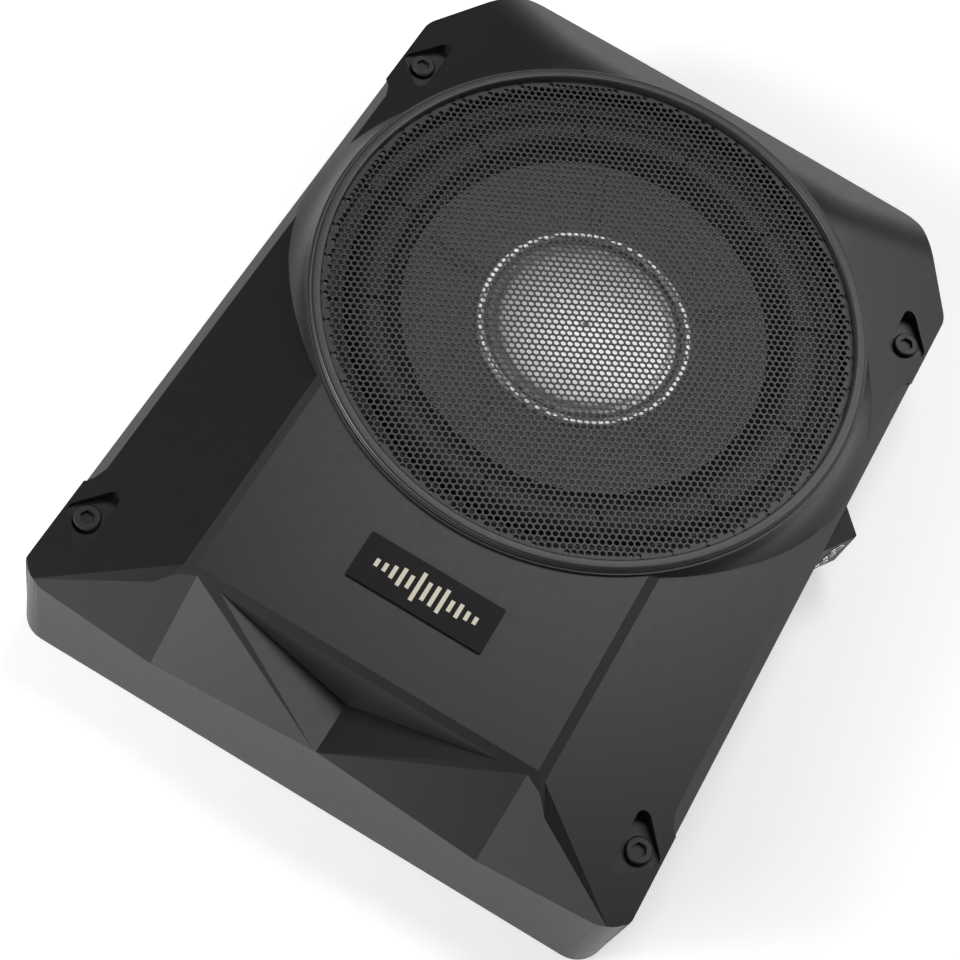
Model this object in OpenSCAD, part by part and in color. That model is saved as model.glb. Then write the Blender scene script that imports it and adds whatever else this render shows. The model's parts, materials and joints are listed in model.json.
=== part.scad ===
// Slim under-seat powered subwoofer: moulded cover, flat base, ten inch class driver and built-in amplifier.
// +Z is up, the faceted nose points to -Y, and the origin is on the floor between the four bracket holes.

/* [Cabinet] */
// Overall width of the cover
body_w = 250; // [248:1:260]
// Overall length of the cover
body_l = 340; // [338:1:350]
// Height of the flat top deck above the floor
deck_z = 65; // [64.5:0.5:66]
// Height of the long side edges above the floor
side_edge_z = 46; // [45:0.5:47]
// Height of the rear edge above the floor
rear_edge_z = 46; // [45:0.5:47]
// Half width of the flat top deck
deck_half_w = 70; // [68:1:72]
// Thickness of the moulded wall
wall = 3; // [2.5:0.5:3.5]

/* [Driver and grille] */
// Distance of the driver's axis behind the middle of the cabinet
driver_y = 38.3; // [37:0.5:40]
// Radius of the grille opening
grille_r = 106; // [105.5:0.5:106.5]
// Top of the bezel above the floor
bezel_z = 68.4; // [68:0.2:69]
// Outer radius of the cone
cone_r = 78; // [76:1:79]
// Outer radius of the dust cap disc
cap_r = 34; // [32:1:36]
// Travel of the cone each way
cone_travel = 6; // [4:1:6]

/* [Controls] */
// Radius of the rotary knobs
knob_r = 4.5; // [4:0.5:5]
// Travel of the slide switch
switch_travel = 3; // [2:0.5:3]

/* [Fixings] */
// Sideways distance between the bracket holes
bracket_dx = 170; // [160:2:180]
// Lengthwise distance between the bracket holes
bracket_dy = 276; // [270:2:280]
// Radius of the bracket holes, for an M5 thread
bracket_hole_r = 2.5; // [2:0.5:3]

/* [Hidden] */
$fn = 96;

floor_gap = 3;                       // the base plate and the cover's rim stand this far above the floor
edge_x = body_w / 2;
end_y = body_l / 2;
eps = 0.02;
big = 600;

// Outline: rounded nose corners, and a slanted cut at each rear corner
nose_corner_r = 12;
rear_cut_x = 95;
rear_cut_y = 131.5;
rear_inner_r = 14;
rear_outer_r = 9;

// Facets of the nose
apex_y = 135.2;                      // how far forward the deck ends
nose_lean = 3.6;                     // the nose wall leans back by this much at its top
nose_top_y = end_y - nose_lean;
nose_wall_n = unit([0, -side_edge_z, nose_lean]);
corner_x = 120;
valley_x = 67.5;
valley_z = 40.1;
crest_z = 49.3;
pit_y = 144.8;
pit_z = 47.4;
pit_rim_x = 58.4;
pit_rim_y = 138.5;
bevel_w = 4;                         // narrow bevel along each side of the deck
bevel_drop = 2.6;
panel_slope = (deck_z - bevel_drop - side_edge_z) / (edge_x - deck_half_w - bevel_w);
corner_z = side_edge_z + (edge_x - corner_x) * panel_slope;

P_R = [deck_half_w, -apex_y, deck_z];
P_L = [-deck_half_w, -apex_y, deck_z];
C_R = [corner_x, -nose_top_y, corner_z];
T_R = [valley_x, -nose_top_y, valley_z];
CREST = [0, -nose_top_y, crest_z];
PIT = [0, -pit_y, pit_z];
CHAMFER_P = [70.3, -134.1, 63.6];     // narrow chamfer between side panel and nose facet
CHAMFER_IN = [67.5, -138, 62.5];
CHAMFER_C = [119.3, -166.1, 47.8];
RIM_R = [pit_rim_x, -pit_rim_y, deck_z - 1.6];
RIM_L = [-pit_rim_x, -pit_rim_y, deck_z - 1.6];

// Skirt that flares out below the bezel, as radius and height pairs
skirt_profile = [[110.7, 66.2], [112, 62.5], [114, 57], [117, 52.5], [120.4, 48.4], [122.8, 46.2]];
bezel_outer_r = grille_r + 4.4;
ledge_inner_r = 103;                 // ledge in the cover that carries the bezel and the driver
ledge_bottom_z = 58.5;
ledge_top_z = 61.5;

// Cover screws and their pockets
screw_x = 115.6;
screw_front_y = -134.7;
screw_rear_y = 110.8;
screw_floor_z = 44.8;
screw_head_r = 5.2;
screw_head_h = 2.2;
screw_socket_h = 1.6;
screw_shank_r = 2;
boss_r = 5.5;
pocket_r = 3;

// Rails: bevels along the two side edges, between the screw pads
rail_y0 = -124;
rail_y1 = 97;
rail_w = 4.6;
rail_drop = 4.9;

// Driver heights
flange_top_z = 57;
flange_h = 3;
flange_outer_r = 111;
flange_inner_r = 97.5;
shelf_r = 56;
shelf_z = 34;
cone_edge_z = 54;
cone_neck_z = 44.6;
former_r = 25.4;
former_t = 0.4;
coil_t = 0.6;
coil_z = 21;
coil_h = 10;
pole_r = 24.4;
yoke_z = 7;
basket_screw_r = 108;
strut_angle = -60;                   // strut that carries the terminal strip
terminal_r = 84;
terminal_bottom_z = 38;
lead_gap = 3;                        // half the distance between the two leads

// Base plate, its bracket pads and the rubber feet
plate_top_z = 5.5;
pad_z = 0.5;
pad_r = 11;
foot_r = 8;
lip_top_z = 9;                       // top of the plate's raised edge
seal_top_z = 10.5;

// Badge on the deck
badge_x = 3.9;
badge_y = -99.7;
badge_w = 56;
badge_d = 19.5;
badge_t = 1;
peg_dx = 20;

// Control panel, sunk into the right-hand wall
panel_y0 = -126;
panel_y1 = 4;
panel_z0 = 9;
panel_z1 = 36;
panel_sink = 9;
panel_t = 2;
panel_face_x = edge_x - panel_sink;
control_z = 22;
knob_ys = [-116, -101, -86];
switch_y = -71;
led_y = -62;
remote_y = -53;
line_ys = [-38, -24];
high_y = -7;

// Terminal block and fuse on the right-hand wall
block_z0 = 11;
block_z1 = 36;
block_out = 9.5;
block_rear_y = 37.3;
block_tip_y = 27.3;
block_front_y = 12;
terminal_n = 3;
fuse_y = 54;
fuse_z = 22;

// Amplifier
board_z = 12;
board_t = 1.6;
board_x0 = -100;
board_x1 = 98;
board_y0 = -150;
board_y1 = -82;
standoff_r = 3;
bar_x = -78;
bar_l = 118;
bar_y = board_y1 - 10;

function unit(v) = v / norm(v);

// Plan of the terminal block: tip, and the slanted front face that carries the clamps
tip = [edge_x + block_out, block_tip_y];
face_start = [edge_x + block_out, block_tip_y - 1];
face_end = [edge_x, block_front_y];
face_dir = unit(face_end - face_start);
face_normal_angle = atan2(face_dir[0], -face_dir[1]);
rear_angle = 45;
entry_y = 33.6;

function plane_normal(a, b, c) =
  let (n = unit(cross(b - a, c - a))) n[2] < 0 ? -n : n;
function arc_points(c, r, a0, a1, n = 8) =
  [for (i = [0 : n]) c + r * [cos(a0 + (a1 - a0) * i / n), sin(a0 + (a1 - a0) * i / n)]];

// Rounded corner of an outline: p is the corner, u and v its neighbours
function corner_points(u, p, v, r, n = 8) =
  let (
    a = unit(u - p),
    b = unit(v - p),
    half = acos(a * b) / 2,
    c = p + unit(a + b) * r / sin(half),
    t0 = p + a * r / tan(half) - c,
    t1 = p + b * r / tan(half) - c,
    s = atan2(t0[1], t0[0]),
    e = atan2(t1[1], t1[0]),
    turn = e - s > 180 ? e - s - 360 : (e - s < -180 ? e - s + 360 : e - s)
  )
  [for (i = [0 : n]) c + r * [cos(s + turn * i / n), sin(s + turn * i / n)]];

function rounded_outline(pts, radii) =
  [for (i = [0 : len(pts) - 1])
    each corner_points(pts[(i + len(pts) - 1) % len(pts)], pts[i], pts[(i + 1) % len(pts)], radii[i])];

// Outline of the cabinet, drawn in by d
function body_outline(d) =
  let (
    x = edge_x - d,
    f = -end_y + d,
    b = end_y - d,
    slant = d * 0.41
  )
  rounded_outline(
    [[-x, f], [x, f], [x, rear_cut_y - slant], [rear_cut_x - slant, b],
     [-rear_cut_x + slant, b], [-x, rear_cut_y - slant]],
    [nose_corner_r - d, nose_corner_r - d, rear_outer_r - d, rear_inner_r - d,
     rear_inner_r - d, rear_outer_r - d]
  );

// Everything below the plane through p with upward normal n
module below(p, n) {
  translate(p)
    rotate([0, acos(n[2]), atan2(n[1], n[0])])
      translate([-big, -big, -2 * big])
        cube(2 * big);
}

module above(p, n) {
  translate(p)
    rotate([0, acos(n[2]), atan2(n[1], n[0])])
      translate([-big, -big, 0])
        cube(2 * big);
}

module at_driver() {
  translate([0, driver_y, 0]) children();
}

module ring(r_out, r_in, z, h) {
  translate([0, 0, z])
    difference() {
      cylinder(r = r_out, h = h);
      translate([0, 0, -eps]) cylinder(r = r_in, h = h + 2 * eps);
    }
}

module both_sides() {
  children();
  mirror([1, 0, 0]) children();
}

// Solid below one half of the nose facets, lowered by d
module nose_half(d) {
  facet_1 = plane_normal(P_R, C_R, T_R);
  facet_2 = plane_normal(P_R, T_R, CREST);
  intersection() {
    translate([-eps, -big, -big]) cube(2 * big);
    union() {
      below(P_R - facet_1 * d, facet_1);
      below(P_R - facet_2 * d, facet_2);
    }
  }
}

// The full outer form of the cover, drawn in by d on every side
module cover_form(d = 0) {
  side_n = unit([panel_slope, 0, 1]);
  bevel_n = unit([bevel_drop / bevel_w, 0, 1]);
  rear_run = end_y - 142;
  rear_n = unit([0, (deck_z - 1 - rear_edge_z) / rear_run, 1]);
  rim_n = plane_normal(P_L, P_R, CREST);
  difference() {
    intersection() {
      translate([0, 0, floor_gap - (d > 0 ? 10 : 0)])
        linear_extrude(100) polygon(body_outline(d));
      below([0, 0, deck_z - d], [0, 0, 1]);
      below(P_R + [0, 0, eps] - rim_n * d, rim_n);
      below([0, end_y, rear_edge_z] - rear_n * d, rear_n);
      behind_nose_wall(d);
      side_half(d, side_n, bevel_n);
      mirror([1, 0, 0]) side_half(d, side_n, bevel_n);
      union() {
        nose_half(d);
        mirror([1, 0, 0]) nose_half(d);
      }
    }
    nose_pit(d);
  }
}

// Solid behind the leaning nose wall, moved in by d
module behind_nose_wall(d) {
  below([0, -nose_top_y, side_edge_z] - nose_wall_n * d, nose_wall_n);
}

// Solid below the right-hand side panel, its chamfer along the nose and the steep bevel from the deck
module side_half(d, side_n, bevel_n) {
  chamfer_n = plane_normal(CHAMFER_P, CHAMFER_IN, CHAMFER_C);
  union() {
    intersection() {
      below([edge_x, 0, side_edge_z] - side_n * d, side_n);
      below(CHAMFER_P - chamfer_n * d, chamfer_n);
    }
    below([deck_half_w, 0, deck_z] - bevel_n * d, bevel_n);
  }
}

// Triangular pit in the nose, grown by d so that a wall is left around it
module nose_pit(d) {
  n_left = plane_normal(RIM_L, CREST, PIT);
  n_right = plane_normal(RIM_R, CREST, PIT);
  n_back = plane_normal(RIM_L, RIM_R, PIT);
  intersection() {
    above(PIT - n_left * d, n_left);
    above(PIT - n_right * d, n_right);
    above(PIT - n_back * d, n_back);
  }
}

// Rounded triangular screw pocket, with its long side inboard
module screw_pocket(y) {
  translate([screw_x, y, screw_floor_z])
    linear_extrude(30)
      polygon(rounded_outline([[-7.1, -17], [-7.1, 17], [9.5, 0]], [pocket_r, pocket_r, pocket_r]));
}

module screw_places() {
  for (side = [-1, 1], y = [screw_front_y, screw_rear_y])
    translate([side * screw_x, y, 0]) children();
}

// One side rail: a steep bevel along the side edge, whose inner line runs out at both ends
module rail_cut() {
  fall = atan2(rail_drop, rail_w);
  run = 9;
  out = 14;
  translate([edge_x - rail_w, 0, side_edge_z + rail_w * panel_slope])
    rotate([0, fall, 0])
      linear_extrude(20)
        polygon([[0, rail_y0 + run], [rail_w * 0.35, rail_y0 + run * 0.4], [rail_w, rail_y0], [out, rail_y0],
                 [out, rail_y1], [rail_w, rail_y1], [rail_w * 0.35, rail_y1 - run * 0.4], [0, rail_y1 - run]]);
}

module top_cover() {
  color("#2b2b2d")
  difference() {
    union() {
      difference() {
        cover_form();
        cover_form(wall);
        both_sides() {
          screw_pocket(screw_front_y);
          screw_pocket(screw_rear_y);
        }
        both_sides() rail_cut();
      }
      // floors and bosses of the four screw pockets
      intersection() {
        cover_form(eps);
        union() {
          both_sides()
            for (y = [screw_front_y, screw_rear_y])
              translate([screw_x, y, screw_floor_z - wall])
                linear_extrude(wall)
                  polygon(rounded_outline([[-10.5, -22], [-10.5, 22], [11, 0]], [4, 4, 4]));
          screw_places() translate([0, 0, 10]) cylinder(r = boss_r, h = screw_floor_z - 10);
        }
      }
      // skirt and ledge around the driver
      intersection() {
        at_driver()
          rotate_extrude()
            polygon(concat(
              [[ledge_inner_r, ledge_top_z], [bezel_outer_r, ledge_top_z], [bezel_outer_r, 66.2]],
              skirt_profile,
              [[122, 43.4], [115, 47.5], [flange_outer_r + 0.4, 52], [flange_outer_r + 0.4, ledge_bottom_z],
               [ledge_inner_r, ledge_bottom_z]]
            ));
        translate([0, 0, floor_gap]) linear_extrude(100) polygon(body_outline(0));
      }
      // frame around the sunk control panel
      translate([panel_face_x - panel_t - 3, panel_y0 - wall, panel_z0 - wall])
        cube([panel_sink + panel_t + 3 - 1, panel_y1 - panel_y0 + 2 * wall, panel_z1 - panel_z0 + 2 * wall]);
      // ledge that presses on the base seal
      translate([0, 0, seal_top_z])
        difference() {
          linear_extrude(2) polygon(body_outline(wall - 0.5));
          translate([0, 0, -1]) linear_extrude(4) polygon(body_outline(wall + 2.4));
        }
      // ribs under the deck
      for (x = [-45, 0, 45])
        intersection() {
          translate([x - 1, -134, 56]) cube([2, 56, 20]);
          cover_form(wall - 0.5);
        }
    }
    // opening for the driver
    at_driver() {
      translate([0, 0, ledge_top_z]) cylinder(r = bezel_outer_r + 0.2, h = 20);
      translate([0, 0, -eps]) cylinder(r = ledge_inner_r, h = 90);
      translate([0, 0, 40]) cylinder(r = flange_outer_r + 0.4, h = ledge_bottom_z - 40);
      for (i = [0 : 7])
        rotate([0, 0, i * 45 + 22.5])
          translate([basket_screw_r, 0, ledge_bottom_z - eps]) cylinder(r = 1.4, h = 2.2);
    }
    // screw holes
    screw_places() translate([0, 0, -eps]) cylinder(r = screw_shank_r + 0.3, h = 60);
    // recess for the control panel, and a smaller window behind it
    translate([panel_face_x - panel_t, panel_y0, panel_z0])
      cube([panel_sink + panel_t + 10, panel_y1 - panel_y0, panel_z1 - panel_z0]);
    translate([panel_face_x - panel_t - 10, panel_y0 + 3, panel_z0 + 6])
      cube([12, panel_y1 - panel_y0 - 3.6, panel_z1 - panel_z0 - 11]);
    for (y = [panel_y0 + 4, panel_y1 - 4])
      toward_right(y, panel_z0 + 4) translate([0, 0, panel_face_x - panel_t - 5]) cylinder(r = 1.3, h = 8);
    // windows for the terminal block and the fuse holder
    translate([edge_x - 8, block_front_y + 1.5, block_z0 + 1.5])
      cube([12, block_rear_y - block_front_y - 3, block_z1 - block_z0 - 3]);
    translate([edge_x - 8, fuse_y - 8, fuse_z - 6]) cube([12, 16, 12]);
    // holes for the two badge pegs
    for (x = [-peg_dx, peg_dx])
      translate([badge_x + x, badge_y, deck_z - 8]) cylinder(r = 1.25, h = 12);
  }
}

module badge_plate() {
  color("black")
  translate([badge_x, badge_y, deck_z]) {
    linear_extrude(badge_t)
      polygon(rounded_outline(
        [[-badge_w / 2, -badge_d / 2], [badge_w / 2, -badge_d / 2],
         [badge_w / 2, badge_d / 2], [-badge_w / 2, badge_d / 2]], [0.8, 0.8, 0.8, 0.8]));
    for (x = [-peg_dx, peg_dx]) translate([x, 0, -wall - 0.5]) cylinder(r = 1.2, h = wall + 0.6);
  }
}

// Row of level bars, a plain decoration
module badge_emblem() {
  bars = 13;
  pitch = 3.4;
  color("#d8d2bd")
  translate([badge_x, badge_y, deck_z + badge_t])
    for (i = [0 : bars - 1]) {
      h = 3 + 10 * pow(sin(180 * (i + 0.5) / bars), 2) * (0.65 + 0.35 * cos(i * 140));
      translate([(i - (bars - 1) / 2) * pitch - 0.8, -h / 2, 0]) cube([1.6, h, 0.25]);
    }
}

module base_plate() {
  color("#3a3b3d")
  difference() {
    union() {
      intersection() {
        translate([0, 0, floor_gap])
          linear_extrude(plate_top_z - floor_gap) polygon(body_outline(wall + 0.4));
        behind_nose_wall(wall + 0.4);
      }
      // raised sides that stiffen the plate and carry the seal
      translate([0, 0, floor_gap])
        difference() {
          intersection() {
            linear_extrude(lip_top_z - floor_gap) polygon(body_outline(wall + 0.4));
            translate([0, 0, -floor_gap]) behind_nose_wall(wall + 0.4);
          }
          translate([0, 0, -eps]) linear_extrude(10) polygon(body_outline(wall + 2.4));
        }
      // pads for the bracket holes
      bracket_places() translate([0, 0, pad_z]) cylinder(r = pad_r, h = plate_top_z - pad_z);
      // threaded pillars under the cover screws
      screw_places() translate([0, 0, floor_gap]) cylinder(r = 5, h = 10 - floor_gap - 0.2);
    }
    bracket_places() translate([0, 0, -1]) cylinder(r = bracket_hole_r, h = 12);
    screw_places() translate([0, 0, floor_gap + 1.4]) cylinder(r = screw_shank_r, h = 12);
    foot_places() translate([0, 0, floor_gap - 1]) cylinder(r = foot_r, h = 1.6);
    base_screw_places() translate([0, 0, floor_gap - 1]) cylinder(r = 1.8, h = 8);
    base_screw_places() translate([0, 0, floor_gap - eps]) cylinder(r1 = 3.4, r2 = 1.8, h = 1.6);
    board_posts() translate([0, 0, floor_gap - 1]) cylinder(r = 1.5, h = 12);
    translate([panel_face_x - panel_t - 4, panel_y0 - wall - 1, floor_gap + 2.5])
      cube([40, panel_y1 - panel_y0 + 2 * wall + 2, 10]);
    translate([edge_x - 20, block_front_y, floor_gap + 2.5]) cube([30, 58, 10]);
  }
}

module bracket_places() {
  for (x = [-1, 1], y = [-1, 1])
    translate([x * bracket_dx / 2, y * bracket_dy / 2, 0]) children();
}

module foot_places() {
  for (x = [-104, 104], y = [-112, 88]) translate([x, y, 0]) children();
}

module rubber_feet() {
  color("#1a1a1a")
  foot_places()
    rotate_extrude()
      polygon([[0, 0], [foot_r - 1.2, 0], [foot_r - 0.4, 0.6], [foot_r - 0.1, 2], [foot_r - 0.1, floor_gap + 0.6],
               [0, floor_gap + 0.6]]);
}

module base_screw_places() {
  at_driver()
    for (i = [0 : 3]) rotate([0, 0, i * 90 + 45]) translate([40, 0, 0]) children();
}

// Countersunk screws that hold the yoke to the base plate
module base_screws() {
  color("silver")
  base_screw_places() {
    translate([0, 0, floor_gap])
      difference() {
        union() {
          cylinder(r1 = 3.3, r2 = 1.7, h = 1.5);
          cylinder(r = 1.7, h = yoke_z + 2 - floor_gap);
        }
        translate([-2, -0.4, -eps]) cube([4, 0.8, 0.7]);
        translate([-0.4, -2, -eps]) cube([0.8, 4, 0.7]);
      }
  }
}

// Foam strip between the base plate's raised edge and the cover
module base_seal() {
  color("#202020")
  translate([0, 0, lip_top_z])
    difference() {
      intersection() {
        linear_extrude(seal_top_z - lip_top_z) polygon(body_outline(wall + 0.4));
        translate([0, 0, -lip_top_z]) behind_nose_wall(wall + 0.4);
      }
      translate([0, 0, -1]) linear_extrude(4) polygon(body_outline(wall + 2.4));
      screw_places() translate([0, 0, -5]) cylinder(r = boss_r + 0.6, h = 20);
      translate([panel_face_x - panel_t - 4, panel_y0 - wall - 1, -5])
        cube([40, panel_y1 - panel_y0 + 2 * wall + 2, 12]);
      translate([edge_x - 20, block_front_y, -5]) cube([30, 58, 12]);
    }
}

// Socket-head screws that clamp the cover to the base
module cover_screws() {
  color("#3c3c3e")
  screw_places() {
    difference() {
      union() {
        translate([0, 0, screw_floor_z])
          rotate_extrude()
            polygon([[0, 0], [screw_head_r, 0], [screw_head_r, screw_head_h - 0.6],
                     [screw_head_r - 0.6, screw_head_h], [0, screw_head_h]]);
        translate([0, 0, floor_gap + 2]) cylinder(r = screw_shank_r - 0.02, h = screw_floor_z - floor_gap - 1);
      }
      translate([0, 0, screw_floor_z + screw_head_h - screw_socket_h]) cylinder(r = 2.9, h = 4, $fn = 6);
    }
  }
}

module grille_bezel() {
  color("#3a3a3c")
  at_driver()
    rotate_extrude()
      polygon([[103.2, ledge_top_z], [bezel_outer_r, ledge_top_z], [bezel_outer_r, bezel_z - 0.7],
               [bezel_outer_r - 0.4, bezel_z], [grille_r + 0.3, bezel_z], [grille_r, bezel_z - 0.4],
               [grille_r, 64.4], [103.2, 64.4]]);
}

module grille() {
  color("#222224")
  at_driver() translate([0, 0, 64.4]) cylinder(r = grille_r - 0.1, h = 1);
}

// Pressed basket: flange, sloping wall with six windows, spider shelf and foot
module basket() {
  color("#1c1c1e")
  at_driver()
    difference() {
      rotate_extrude()
        polygon([
          [flange_inner_r, flange_top_z - flange_h], [flange_outer_r, flange_top_z - flange_h],
          [flange_outer_r, flange_top_z], [flange_inner_r - 1, flange_top_z],
          [flange_inner_r - 3, flange_top_z - 3], [shelf_r + 8, shelf_z + 1.8], [shelf_r - 8, shelf_z + 1.8],
          [shelf_r - 11, 30], [30, 30], [30, 28.2], [shelf_r - 8, 28.2],
          [shelf_r - 5, shelf_z - 0.2], [shelf_r + 9.5, shelf_z - 0.2], [flange_inner_r - 1, flange_top_z - flange_h - 2]
        ]);
      for (i = [0 : 5])
        rotate([0, 0, i * 60 + 30])
          translate([shelf_r + 12, -15, 20]) cube([24, 30, 40]);
      for (i = [0 : 7])
        rotate([0, 0, i * 45 + 22.5])
          translate([basket_screw_r, 0, 40]) cylinder(r = 1.6, h = 30);
      translate([0, 0, 20]) cylinder(r = 30, h = 20);
    }
}

module basket_gasket() {
  color("#141414")
  at_driver()
    difference() {
      ring(flange_outer_r, 105, flange_top_z, ledge_bottom_z - flange_top_z);
      for (i = [0 : 7])
        rotate([0, 0, i * 45 + 22.5])
          translate([basket_screw_r, 0, 40]) cylinder(r = 1.6, h = 30);
    }
}

module basket_screws() {
  color("silver")
  at_driver()
    for (i = [0 : 7])
      rotate([0, 0, i * 45 + 22.5])
        translate([basket_screw_r, 0, flange_top_z - flange_h - 1.8]) {
          difference() {
            cylinder(r = 2.8, h = 1.8);
            translate([-1.6, -0.35, -eps]) cube([3.2, 0.7, 0.9]);
            translate([-0.35, -1.6, -eps]) cube([0.7, 3.2, 0.9]);
          }
          translate([0, 0, 1.8]) cylinder(r = 1.38, h = 6.2);
        }
}

// Half-roll surround: flat inner land, roll, flat outer land
module surround() {
  mid_r = (cone_r + flange_inner_r - 1) / 2;
  roll_r = (flange_inner_r - 1 - cone_r) / 2;
  land_z = flange_top_z;
  color("#111112")
  at_driver()
    rotate_extrude()
      polygon(concat(
        [[cone_r - 4, cone_edge_z + 0.4], [cone_r - 1, cone_edge_z + 0.4]],
        [for (a = [170 : -10 : 10]) [mid_r + (roll_r - 1) * cos(a), land_z - 0.9 + (roll_r - 4.9) * sin(a)]],
        [[flange_inner_r - 1.3, land_z], [104.5, land_z], [104.5, land_z + 0.9], [flange_inner_r - 0.4, land_z + 0.9]],
        [for (a = [10 : 10 : 170]) [mid_r + roll_r * cos(a), land_z - 0.2 + (roll_r - 4.4) * sin(a)]],
        [[cone_r - 1, cone_edge_z + 1.2], [cone_r - 4, cone_edge_z + 1.2]]
      ));
}

// Corrugated spider: rings of rising and falling waves around the coil former
module spider() {
  r0 = former_r + former_t + 0.4;
  r1 = shelf_r + 3;
  waves = 6;
  steps = 48;
  wave_h = 0.8;
  cloth = 0.35;
  mid = shelf_z + 1.85 + cloth + wave_h;
  color("#b58a4a")
  at_driver()
    rotate_extrude()
      polygon(concat(
        [for (i = [0 : steps]) let (t = i / steps)
          [r0 + (r1 - r0) * t, mid - cloth + wave_h * sin(360 * waves * t)]],
        [for (i = [steps : -1 : 0]) let (t = i / steps)
          [r0 + (r1 - r0) * t, mid + cloth + wave_h * sin(360 * waves * t)]]
      ));
}

// Shallow paper cone with five pressed ribs
module cone() {
  color("#3b3b3d")
  at_driver() {
    rotate_extrude()
      polygon([[former_r + former_t, cone_neck_z], [former_r + former_t + 2, cone_neck_z],
               [cone_r, cone_edge_z - 0.8], [cone_r, cone_edge_z + 0.4], [cone_r - 4.2, cone_edge_z + 0.4],
               [former_r + former_t, cone_neck_z + 1.3]]);
    for (i = [0 : 4])
      rotate([0, 0, i * 72 + 40])
        intersection() {
          translate([46, -1.6, cone_neck_z]) cube([24, 3.2, 12]);
          rotate_extrude()
            polygon([[40, 47.6], [40, 49.1], [72, 54.6], [72, 53.2]]);
        }
  }
}

// Bright trim ring around the dust cap
module cap_ring() {
  color("#c9cacc")
  at_driver()
    rotate_extrude()
      polygon([[40.3, 48.5], [44, 49.15], [43.8, 50.2], [42.6, 50.8], [41.2, 50.6], [40.3, 49.8]]);
}

module dust_cap() {
  sphere_r = 150;
  color("#d6d7d9")
  at_driver()
    rotate_extrude()
      polygon(concat(
        [[0, 49], [30, 49], [36.6, 47.9], [38.4, 48.2], [38.1, 48.8]],
        [[cap_r + 2, 49.2], [cap_r, 50]],
        [for (i = [6 : -1 : 0]) let (r = cap_r * i / 7)
          [r, 50.2 + sqrt(sphere_r * sphere_r - r * r) - sqrt(sphere_r * sphere_r - cap_r * cap_r)]]
      ));
}

module coil_former() {
  color("#b7793a")
  at_driver() ring(former_r + former_t, former_r, coil_z, cone_neck_z + 1.3 - coil_z);
}

module voice_coil() {
  color("#b4622a")
  at_driver() ring(former_r + former_t + coil_t, former_r + former_t, coil_z, coil_h);
}

module top_plate() {
  color("#8d9094")
  at_driver() ring(48, former_r + former_t + coil_t + 0.6, 22.2, 6);
}

module magnet() {
  color("#4a4a4c")
  at_driver() ring(56, 31, 11.2, 11);
}

module yoke() {
  color("#8d9094")
  at_driver()
    difference() {
      union() {
        translate([0, 0, yoke_z]) cylinder(r = 52, h = 4.2);
        translate([0, 0, yoke_z]) cylinder(r = pole_r, h = 21.2);
        translate([0, 0, floor_gap + 2.5]) cylinder(r = 46, h = yoke_z - floor_gap - 2.5);
      }
      translate([0, 0, floor_gap]) cylinder(r = 8, h = 40);
      for (i = [0 : 3]) rotate([0, 0, i * 90 + 45]) translate([40, 0, 0]) cylinder(r = 1.75, h = 11.3);
    }
}

module board_posts() {
  for (x = [board_x0 + 8, board_x1 - 8], y = [board_y0 + 8, board_y1 - 8])
    translate([x, y, 0]) children();
}

module board_standoffs() {
  color("#c8b27a")
  board_posts()
    difference() {
      translate([0, 0, floor_gap + 2.5]) cylinder(r = standoff_r, h = board_z - floor_gap - 2.5);
      cylinder(r = 1.5, h = 40);
    }
}

module board_screws() {
  color("silver")
  board_posts() {
    translate([0, 0, board_z + board_t]) cylinder(r = 2.8, h = 1.8);
    translate([0, 0, board_z - 5]) cylinder(r = 1.48, h = 5 + board_t);
  }
}

module amplifier_board() {
  color("#1f5a38")
  difference() {
    translate([board_x0, board_y0, board_z])
      cube([board_x1 - board_x0, board_y1 - board_y0, board_t]);
    board_posts() translate([0, 0, board_z - 1]) cylinder(r = 1.6, h = 4);
  }
}

module heat_bar() {
  color("#a9abad")
  translate([bar_x, bar_y, board_z + board_t]) {
    cube([bar_l, 4, 20]);
    for (i = [0 : 11]) translate([3 + i * 10, 3.9, 3]) cube([1.6, 5, 17]);
  }
}

module power_transistors() {
  color("#2a2a2c")
  for (i = [0 : 5])
    translate([bar_x + 8 + i * 18, bar_y - 4.6, board_z + board_t])
      cube([10, 4.6, 15]);
}

module toroid() {
  color("#8a4b22")
  translate([56, -116, board_z + board_t]) ring(17, 8, 0, 13);
}

module capacitors() {
  color("#23344f")
  for (i = [0 : 3])
    translate([-62 + i * 23, -128, board_z + board_t]) {
      cylinder(r = 9, h = 24);
      cylinder(r = 8.2, h = 25);
    }
}

// Round wire through a list of points
module wire(pts, r) {
  for (i = [0 : len(pts) - 2]) {
    d = pts[i + 1] - pts[i];
    translate(pts[i]) rotate([0, acos(d[2] / norm(d)), atan2(d[1], d[0])]) cylinder(r = r, h = norm(d));
  }
  for (i = [1 : len(pts) - 2]) translate(pts[i]) sphere(r = r * 1.08);
}

// Two insulated leads from the amplifier to the driver's terminal strip
module speaker_wires() {
  run_z = 20;
  board_x = 49;
  board_y = board_y1 - 3;
  color("#b03030")
  for (s = [-1, 1]) {
    x = terminal_r * cos(strut_angle) + s * lead_gap * sin(-strut_angle);
    y = driver_y + terminal_r * sin(strut_angle) + s * lead_gap * cos(strut_angle);
    wire([[board_x + s * lead_gap, board_y, board_z + board_t], [board_x + s * lead_gap, board_y, run_z],
          [x, y, run_z], [x, y, terminal_bottom_z]], 1.4);
  }
}

// Terminal strip under one strut of the basket
module driver_terminal() {
  color("#7a5a34")
  at_driver()
    rotate([0, 0, strut_angle])
      translate([0, 7, 0])
        rotate([90, 0, 0])
          linear_extrude(14)
            polygon([[82, terminal_bottom_z], [82, 43.4], [91, 48.7], [91, 43], [86, terminal_bottom_z]]);
}

// ---- controls on the right-hand wall ----

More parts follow.
